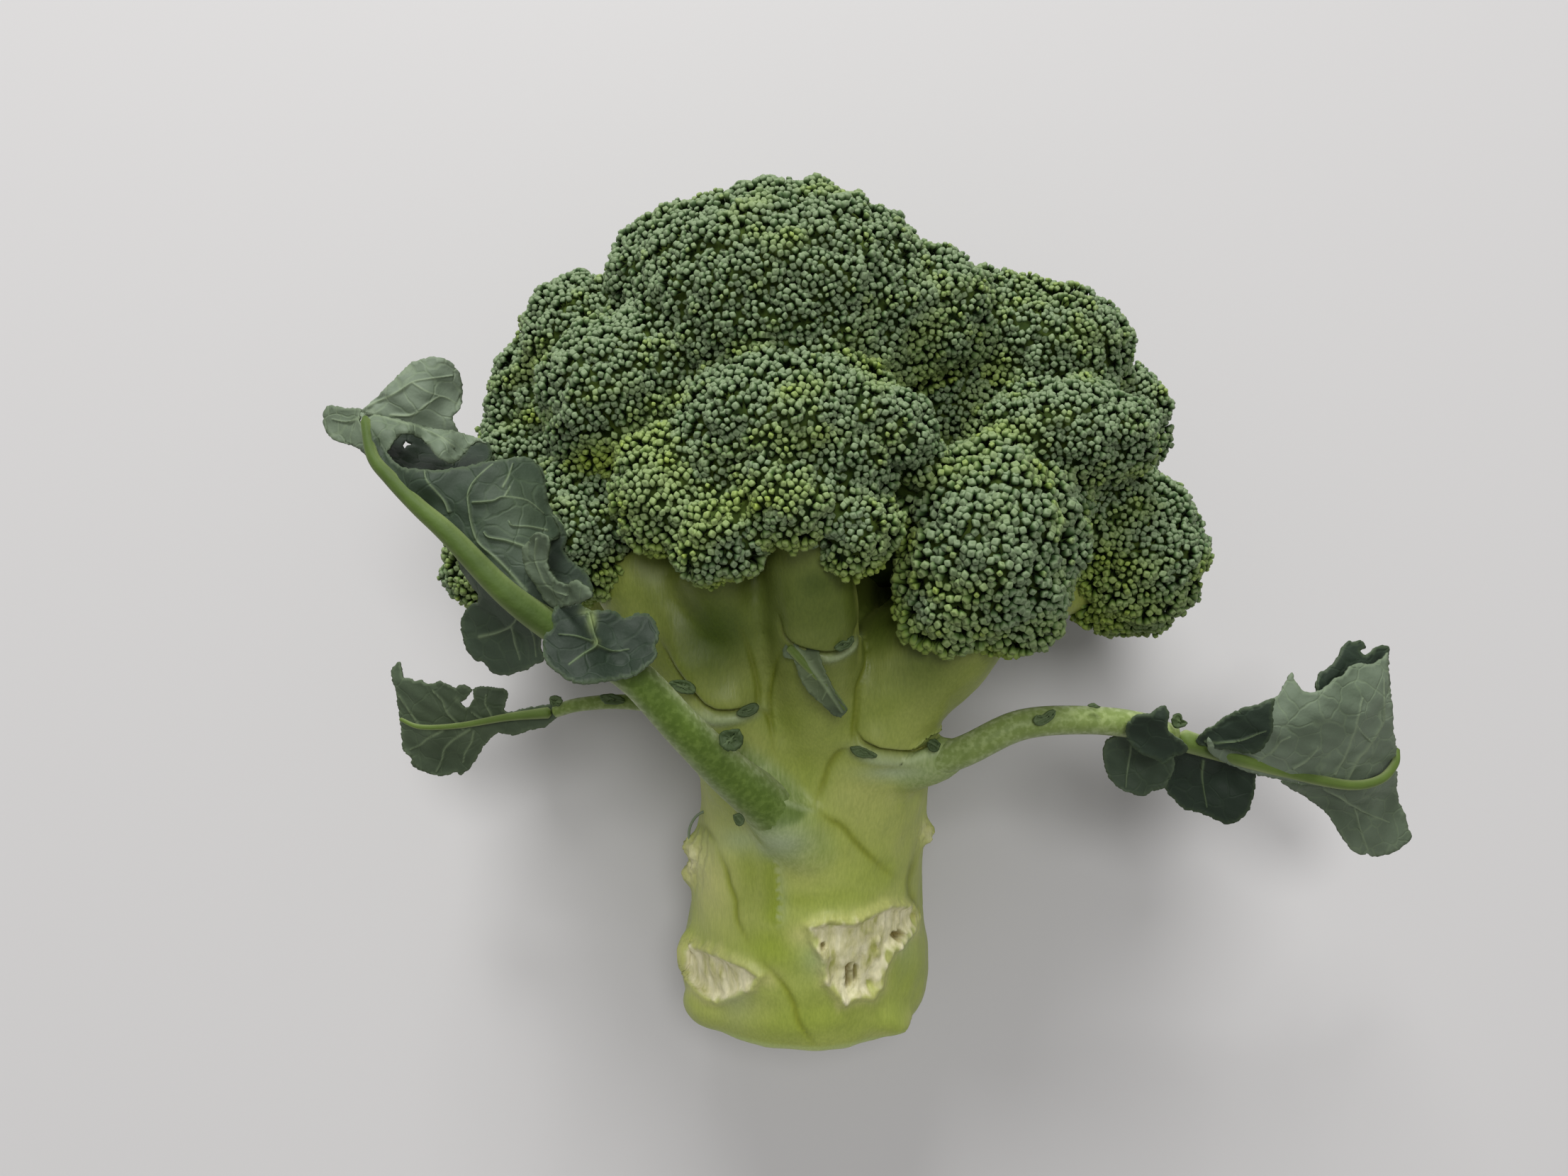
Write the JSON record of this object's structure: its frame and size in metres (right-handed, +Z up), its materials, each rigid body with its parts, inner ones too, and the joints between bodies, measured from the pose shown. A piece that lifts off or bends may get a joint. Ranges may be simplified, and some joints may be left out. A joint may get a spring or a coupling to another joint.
{
  "type": "broccoli head",
  "caption": "Cut head of broccoli lying on its side: a thick pale stalk that forks into branches, domed dark green florets and a few leaves.",
  "frame": {"origin": "bottom centre of the whole head as it lies, leaves included", "axes": "+Y along the stalk from the cut end to the crown, +X to the right as seen from above, +Z up"},
  "size_m": [0.2113, 0.1678, 0.102],
  "materials": {
    "stalk": "waxy pale yellow-green skin",
    "floret": "dense matt flower buds with a grey-green bloom",
    "petiole": "waxy light green skin",
    "blade": "waxy grey-green leaf"
  },
  "bodies": {
    "root": {"stalk": "stalk", "crown_centre": "floret", "floret_back_left": "floret", "floret_upper_left": "floret", "floret_left": "floret", "floret_front_left": "floret", "floret_front_centre": "floret", "floret_back_right": "floret", "floret_upper_right": "floret", "floret_inner_right": "floret", "floret_far_right": "floret", "floret_front_right": "floret", "floret_right": "floret", "under_centre": "floret", "under_left": "floret", "under_right": "floret", "under_back_centre": "floret", "under_back_left": "floret", "under_back_right": "floret", "under_rim_left": "floret", "under_rim_centre": "floret", "under_rim_right": "floret", "under_far_right": "floret", "under_far_left": "floret", "floret_low_left": "floret", "petiole_left": "petiole", "blade_left": "blade", "petiole_right": "petiole", "blade_right": "blade", "petiole_small": "petiole", "blade_small": "blade", "leaflet_fork": "blade"}
  },
  "joints": []
}
